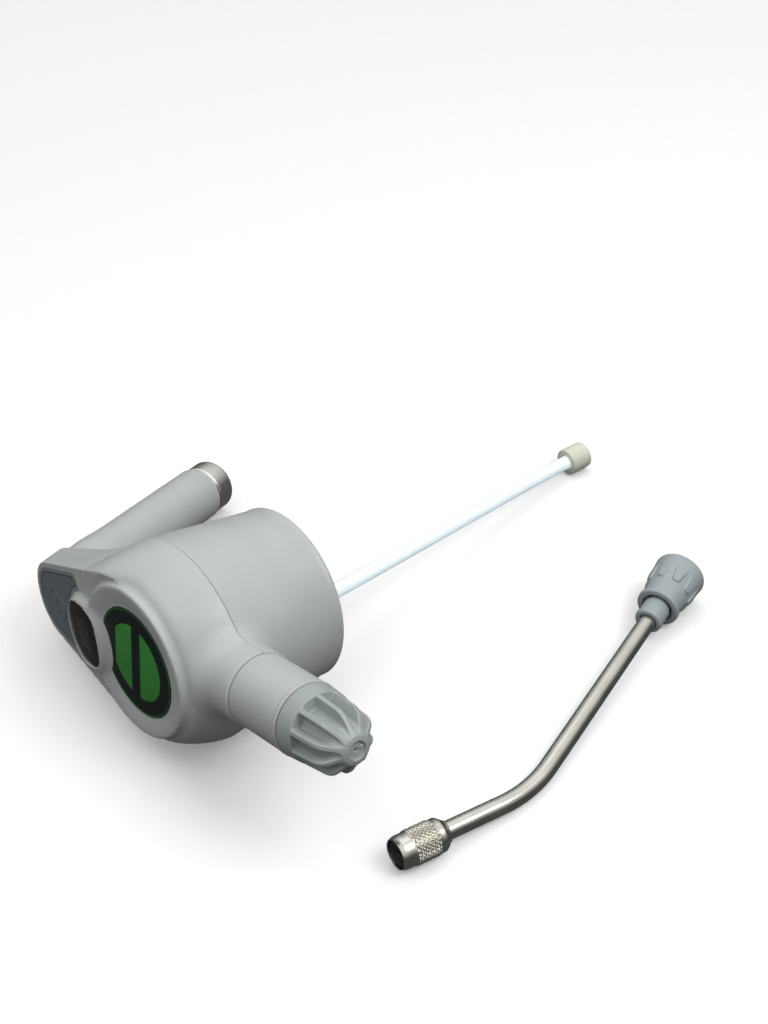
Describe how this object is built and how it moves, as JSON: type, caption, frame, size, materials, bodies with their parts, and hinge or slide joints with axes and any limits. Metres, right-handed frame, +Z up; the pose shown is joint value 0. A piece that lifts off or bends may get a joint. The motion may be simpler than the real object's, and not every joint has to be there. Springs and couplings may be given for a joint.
{
  "type": "cordless sprayer head with lance",
  "caption": "Light grey cordless electric sprayer head lying on its side, with a battery handle, round body, ribbed spray nozzle and weighted suction tube, and a bent metal lance beside it",
  "frame": {"origin": "centre of the bounding box's footprint, on the floor the kit lies on", "axes": "+X runs from the handle side to the nozzle side, +Y runs along the suction tube away from the head's panel, +Z is up from the floor"},
  "size_m": [0.3213, 0.3393, 0.1063],
  "materials": {
    "grey_plastic": "fine-textured satin light grey moulding",
    "cap_plastic": "smooth darker grey moulding",
    "slate_film": "satin slate film",
    "black_gloss": "glossy black window",
    "black_rubber": "soft black rubber",
    "label_green": "printed round label",
    "nickel": "polished nickel plate",
    "steel": "plain steel",
    "brass": "plain brass",
    "board_green": "circuit board",
    "clear_tube": "translucent flexible tube",
    "ceramic": "off-white filter weight",
    "pump_resin": "dark moulded resin",
    "gear_resin": "ivory moulded resin",
    "cell_wrap": "shrink-wrapped cell",
    "red_wire": "insulated wire"
  },
  "bodies": {
    "sprayer": {"top_cover": "grey_plastic", "lower_housing": "grey_plastic", "handle_shell": "grey_plastic", "display_bezel": "grey_plastic", "nozzle_sleeve": "grey_plastic", "panel_overlay": "slate_film", "display_lens": "black_gloss", "display_module": "black_gloss", "bottle_gasket": "black_rubber", "label_disc": "label_green", "housing_screw_1": "steel", "housing_screw_2": "steel", "housing_screw_3": "steel", "housing_screw_4": "steel", "idler_pin": "steel", "motor_can": "steel", "cell_contact": "brass", "control_board": "board_green", "suction_tube": "clear_tube", "outlet_hose": "clear_tube", "filter_weight": "ceramic", "pump_body": "pump_resin", "tact_switch": "pump_resin", "battery_liner": "pump_resin", "motor_end_bell": "pump_resin", "inlet_fitting": "pump_resin", "pump_cover": "gear_resin", "nozzle_stem": "gear_resin", "battery_cell": "cell_wrap", "battery_lead": "red_wire", "motor_lead": "red_wire"},
    "power_button": {"power_button": "slate_film"},
    "motor_spindle": {"motor_rotor": "brass", "drive_shaft": "steel", "drive_gear": "gear_resin"},
    "idler_gear": {"idler_gear": "gear_resin"},
    "cap_thread": {"cap_seal": "black_rubber"},
    "spray_cap": {"spray_cap": "cap_plastic"},
    "end_contact": {"cap_contact": "brass", "battery_spring": "steel"},
    "battery_cap": {"battery_cap": "nickel"},
    "lance": {"lance_tube": "nickel", "lance_ferrule": "brass", "lance_washer": "black_rubber", "lance_collar": "cap_plastic"},
    "lance_nut": {"lance_nut": "nickel"},
    "lance_nozzle": {"lance_nozzle": "cap_plastic"}
  },
  "joints": [
    {"name": "button_press", "type": "slide", "parent": "sprayer", "child": "power_button", "axis": [0.1301, 0.9876, -0.0878], "range_m": [0, 0.0008], "stiffness_N_per_m": 600, "springref_m": -0.001},
    {"name": "motor_spin", "type": "hinge", "parent": "sprayer", "child": "motor_spindle", "pos_m": [0.02093, -0.12082, 0.04942], "axis": [0.9853, 0, 0.171], "continuous": true},
    {"name": "idler_spin", "type": "hinge", "parent": "sprayer", "child": "idler_gear", "pos_m": [0.01889, -0.11951, 0.06118], "axis": [0.9853, 0, 0.171], "continuous": true},
    {"name": "cap_travel", "type": "slide", "parent": "sprayer", "child": "cap_thread", "axis": [0.9835, -0.0434, 0.1756], "range_m": [0, 0.0031]},
    {"name": "cap_turn", "type": "hinge", "parent": "cap_thread", "child": "spray_cap", "pos_m": [-0.00208, -0.13667, 0.05333], "axis": [0.9835, -0.0434, 0.1756], "range_deg": [0, 540]},
    {"name": "battery_cap_travel", "type": "slide", "parent": "sprayer", "child": "end_contact", "axis": [-0.3291, 0.9304, -0.1611], "range_m": [0, 0.0061]},
    {"name": "battery_cap_turn", "type": "hinge", "parent": "end_contact", "child": "battery_cap", "pos_m": [-0.14169, -0.02663, 0.01679], "axis": [-0.3291, 0.9304, -0.1611], "range_deg": [0, 1440]},
    {"name": "lance_lift", "type": "slide", "parent": "sprayer", "child": "lance", "axis": [0, 0, 1], "range_m": [0, 0.2]},
    {"name": "lance_nut_turn", "type": "hinge", "parent": "lance", "child": "lance_nut", "pos_m": [0.1457, -0.1326, 0.0102], "axis": [0.1655, 0.983, -0.0796], "continuous": true},
    {"name": "lance_nozzle_turn", "type": "hinge", "parent": "lance", "child": "lance_nozzle", "pos_m": [0.112, 0.1111, 0.01425], "axis": [-0.2682, 0.9616, 0.059], "range_deg": [0, 270]}
  ],
  "couplings": [
    {"joint": "idler_spin", "follows": "motor_spin", "ratio": -1},
    {"joint": "cap_travel", "follows": "cap_turn", "m_per_rad": 0.00031831},
    {"joint": "battery_cap_travel", "follows": "battery_cap_turn", "m_per_rad": 0.00023873}
  ]
}
